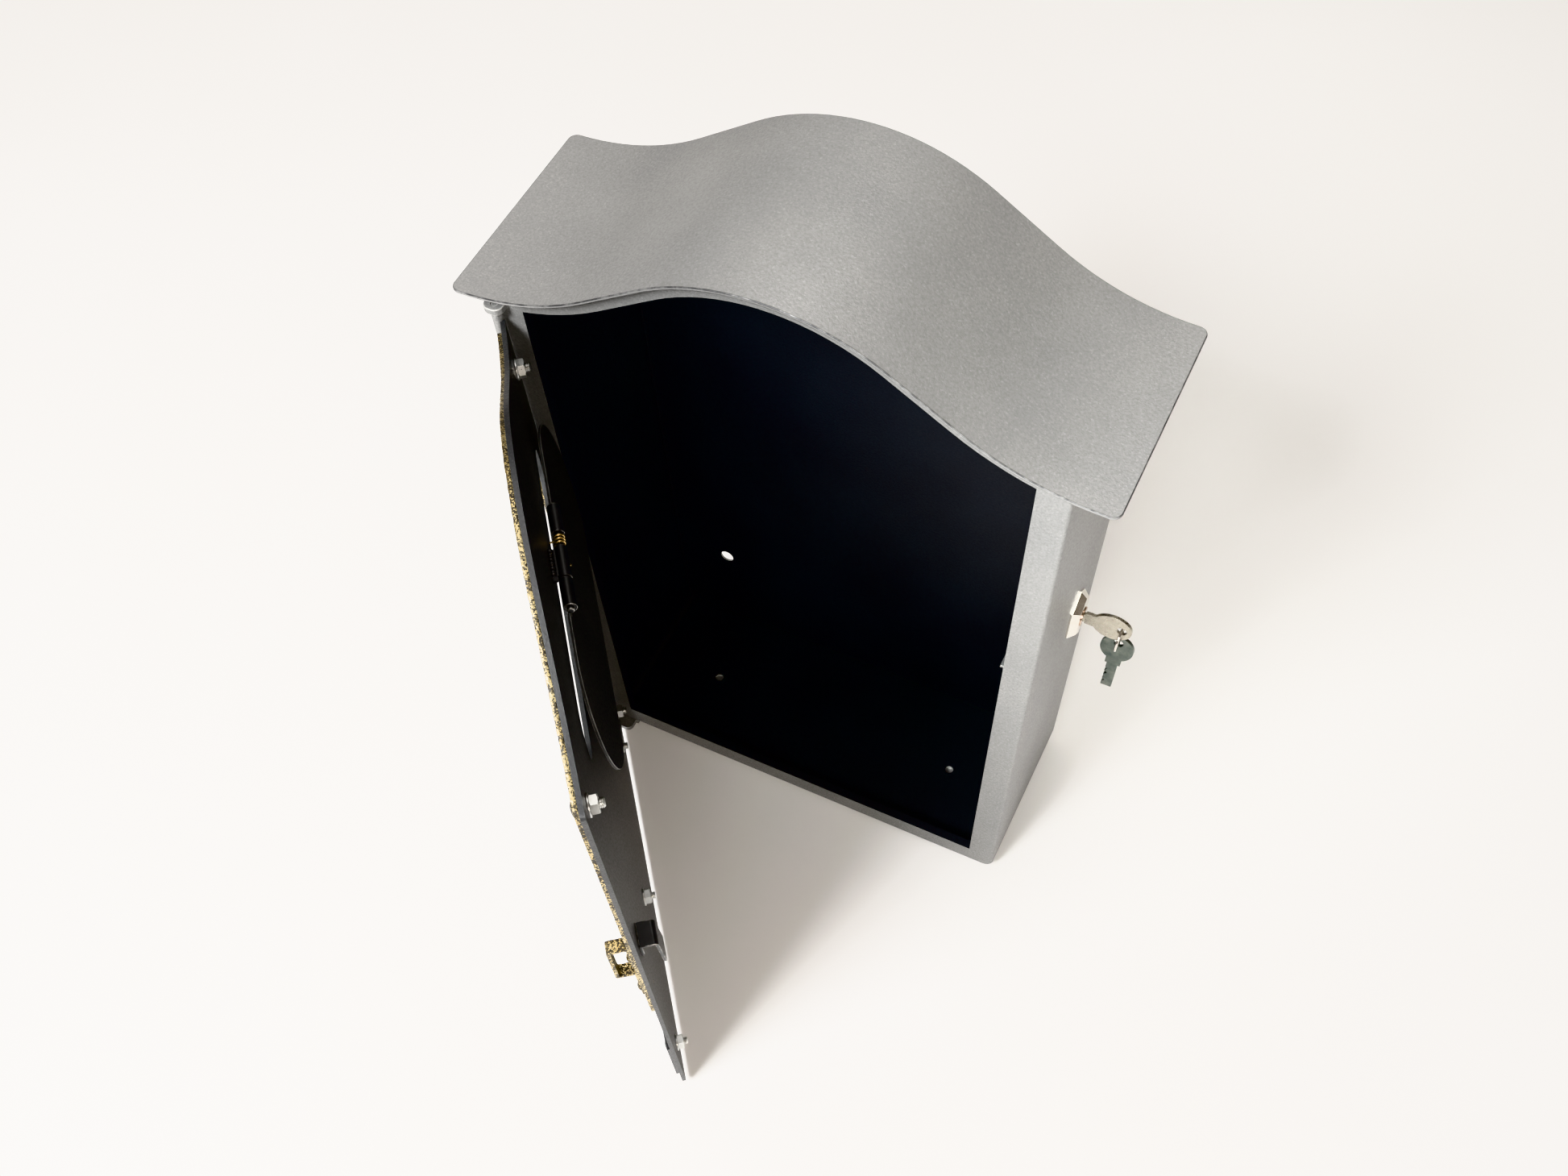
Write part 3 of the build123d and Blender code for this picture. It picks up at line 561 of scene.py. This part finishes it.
# ---------------------------------------------------------------- floor, light, camera
bm = bmesh.new()
bmesh.ops.create_grid(bm, x_segments=8, y_segments=8, size=6.0)
floor_mesh = bpy.data.meshes.new("floor")
bm.to_mesh(floor_mesh)
bm.free()
floor = bpy.data.objects.new("floor", floor_mesh)
floor.location = (0, 0, cad_box[0][2] - 0.2 * MM)
bpy.context.scene.collection.objects.link(floor)
pale, t, s = material("pale_floor")
tone = mixed(t, remap(t, clouds(t, 3, 2), 0.3, 0.7, 0, 1), (0.90, 0.89, 0.875), (0.93, 0.92, 0.91))
t.links.new(tone, s.inputs["Base Color"])
s.inputs["Roughness"].default_value = 0.85
floor_mesh.materials.append(pale)


def soft_light(name, place, aim, size, power, tint, spread=180):
    """A round area light at place, turned to aim. Its spread is in degrees."""
    lamp = bpy.data.lights.new(name, "AREA")
    lamp.shape = "DISK"
    lamp.size = size
    lamp.energy = power
    lamp.spread = math.radians(spread)
    lamp.color = tint
    obj = bpy.data.objects.new(name, lamp)
    obj.location = place
    obj.rotation_euler = (Vector(aim) - Vector(place)).to_track_quat("-Z", "Y").to_euler()
    bpy.context.scene.collection.objects.link(obj)


soft_light("overhead", (-0.25, 0.25, 1.6), (0, 0, 0), 1.3, 13, (1.0, 0.975, 0.94))
soft_light("key", (-0.42, -1.22, 1.20), (0, 0, 0), 0.7, 62, (0.985, 0.99, 1.0))
soft_light("near", (0.20, -0.50, 0.40), (0.13, -0.1, 0.14), 0.22, 0.46, (0.98, 1.0, 0.98), 50)
soft_light("fill", (0.75, -0.80, 0.60), (0.0, -0.19, -0.14), 0.35, 0.40, (1.0, 0.90, 0.80), 45)
world = bpy.data.worlds.new("studio")
bpy.context.scene.world = world
world.use_nodes = True
world.node_tree.nodes["Background"].inputs["Color"].default_value = (1.0, 0.87, 0.74, 1)
world.node_tree.nodes["Background"].inputs["Strength"].default_value = 0.24

# The camera stands above and in front of the box, right of its middle, and looks down on it.
camera = bpy.data.cameras.new("camera")
camera.sensor_fit = "HORIZONTAL"
camera.sensor_width = 36.0
camera.lens = 31.94
camera.shift_y = 0.139
camera.clip_start = 0.01
camera.dof.use_dof = False
eye = bpy.data.objects.new("camera", camera)
turned = Euler([math.radians(a) for a in (26.5138, 2.3250, 26.0809)]).to_matrix()
eye.matrix_world = Matrix.Translation((0.18885, -0.43339, 0.57481)) @ turned.to_4x4()
bpy.context.scene.collection.objects.link(eye)
bpy.context.scene.camera = eye
bpy.context.scene.view_settings.view_transform = "Khronos PBR Neutral"
bpy.context.scene.view_settings.look = "None"
